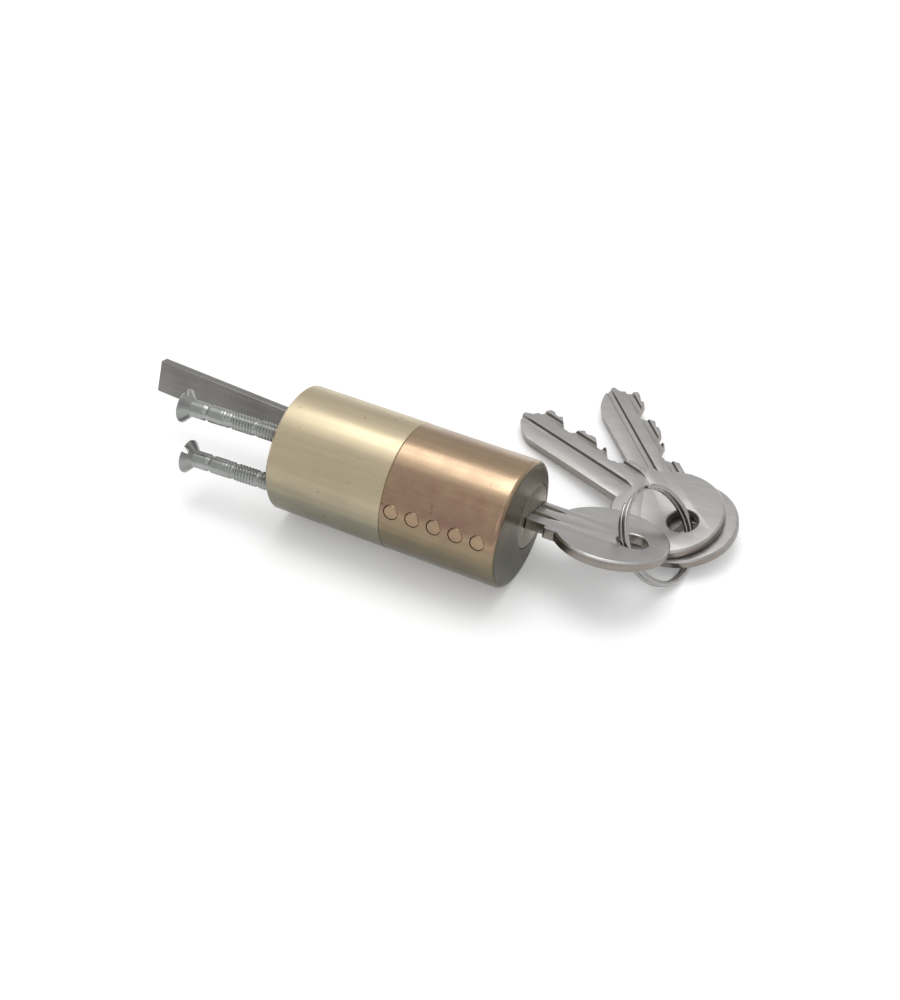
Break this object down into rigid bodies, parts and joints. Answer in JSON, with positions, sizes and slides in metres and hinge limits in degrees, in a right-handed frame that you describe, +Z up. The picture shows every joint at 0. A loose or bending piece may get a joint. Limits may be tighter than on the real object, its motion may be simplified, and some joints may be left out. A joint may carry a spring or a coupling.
{
  "type": "round cylinder lock",
  "caption": "Round rim cylinder lock with an eccentric pin tumbler plug, flat tailpiece, long fixing screws, a key in the keyway and spare keys on a split ring.",
  "frame": {"origin": "centre of the barrel's front face, on the barrel's axis", "axes": "+X along the barrel's axis towards the key, +Z up as the lock lies on a table, +Y to the side on which the spare keys lie"},
  "size_m": [0.1081, 0.0621, 0.023],
  "materials": {
    "front_brass": "turned bronze coloured brass with brown tarnish",
    "rear_brass": "satin turned pale brass",
    "plug_brass": "satin brass",
    "disc_brass": "filed flush brass",
    "pin_brass": "turned brass",
    "key_nickel": "polished nickel plate",
    "ring_nickel": "bright nickel plated spring steel",
    "tail_steel": "dark rolled steel",
    "zinc_plate": "bright zinc plate",
    "spring_steel": "plain spring steel"
  },
  "bodies": {
    "barrel": {"front_barrel": "front_brass", "rear_barrel": "rear_brass", "fixing_screws": "zinc_plate", "chamber_plug_1": "disc_brass", "chamber_plug_2": "disc_brass", "chamber_plug_3": "disc_brass", "chamber_plug_4": "disc_brass", "chamber_plug_5": "disc_brass", "pin_spring_1": "spring_steel", "pin_spring_2": "spring_steel", "pin_spring_3": "spring_steel", "pin_spring_4": "spring_steel", "pin_spring_5": "spring_steel"},
    "plug": {"plug": "plug_brass", "plug_clip": "spring_steel", "tail_cross_pin": "spring_steel", "inserted_key": "key_nickel", "key_pin_1": "pin_brass", "key_pin_2": "pin_brass", "key_pin_3": "pin_brass", "key_pin_4": "pin_brass", "key_pin_5": "pin_brass"},
    "tail": {"tailpiece": "tail_steel"},
    "ring": {"split_ring": "ring_nickel"},
    "second_key": {"second_key": "key_nickel"},
    "third_key": {"third_key": "key_nickel"},
    "driver_1": {"driver_pin_1": "pin_brass"},
    "driver_2": {"driver_pin_2": "pin_brass"},
    "driver_3": {"driver_pin_3": "pin_brass"},
    "driver_4": {"driver_pin_4": "pin_brass"},
    "driver_5": {"driver_pin_5": "pin_brass"}
  },
  "joints": [
    {"name": "plug_turn", "type": "hinge", "parent": "barrel", "child": "plug", "pos_m": [0, 0.00429, -0.00152], "axis": [1, 0, 0], "continuous": true},
    {"name": "tail_wobble", "type": "hinge", "parent": "plug", "child": "tail", "pos_m": [-0.02899, 0.00429, -0.00152], "axis": [0, 0.9426, -0.3338], "range_deg": [-7.95, 2.05]},
    {"name": "driver_slide_1", "type": "slide", "parent": "barrel", "child": "driver_1", "axis": [0, -0.9426, 0.3338], "range_m": [0, 0.0023], "stiffness_N_per_m": 60, "springref_m": -0.003, "deforming": ["pin_spring_1"]},
    {"name": "driver_slide_2", "type": "slide", "parent": "barrel", "child": "driver_2", "axis": [0, -0.9426, 0.3338], "range_m": [0, 0.0023], "stiffness_N_per_m": 60, "springref_m": -0.003, "deforming": ["pin_spring_2"]},
    {"name": "driver_slide_3", "type": "slide", "parent": "barrel", "child": "driver_3", "axis": [0, -0.9426, 0.3338], "range_m": [0, 0.0023], "stiffness_N_per_m": 60, "springref_m": -0.003, "deforming": ["pin_spring_3"]},
    {"name": "driver_slide_4", "type": "slide", "parent": "barrel", "child": "driver_4", "axis": [0, -0.9426, 0.3338], "range_m": [0, 0.0023], "stiffness_N_per_m": 60, "springref_m": -0.003, "deforming": ["pin_spring_4"]},
    {"name": "driver_slide_5", "type": "slide", "parent": "barrel", "child": "driver_5", "axis": [0, -0.9426, 0.3338], "range_m": [0, 0.0023], "stiffness_N_per_m": 60, "springref_m": -0.003, "deforming": ["pin_spring_5"]},
    {"name": "ring_swing", "type": "hinge", "parent": "plug", "child": "ring", "pos_m": [0.0178, 0.00594, -0.0021], "axis": [0, 0.3338, 0.9426], "range_deg": [-90, 4]},
    {"name": "second_key_swing", "type": "hinge", "parent": "ring", "child": "second_key", "pos_m": [0.02242, 0.01892, -0.00634], "axis": [-0.1327, -0.0716, 0.9886], "range_deg": [-120, 6]},
    {"name": "third_key_swing", "type": "hinge", "parent": "ring", "child": "third_key", "pos_m": [0.024, 0.01808, -0.00826], "axis": [-0.1327, -0.0716, 0.9886], "range_deg": [-120, 30]}
  ]
}
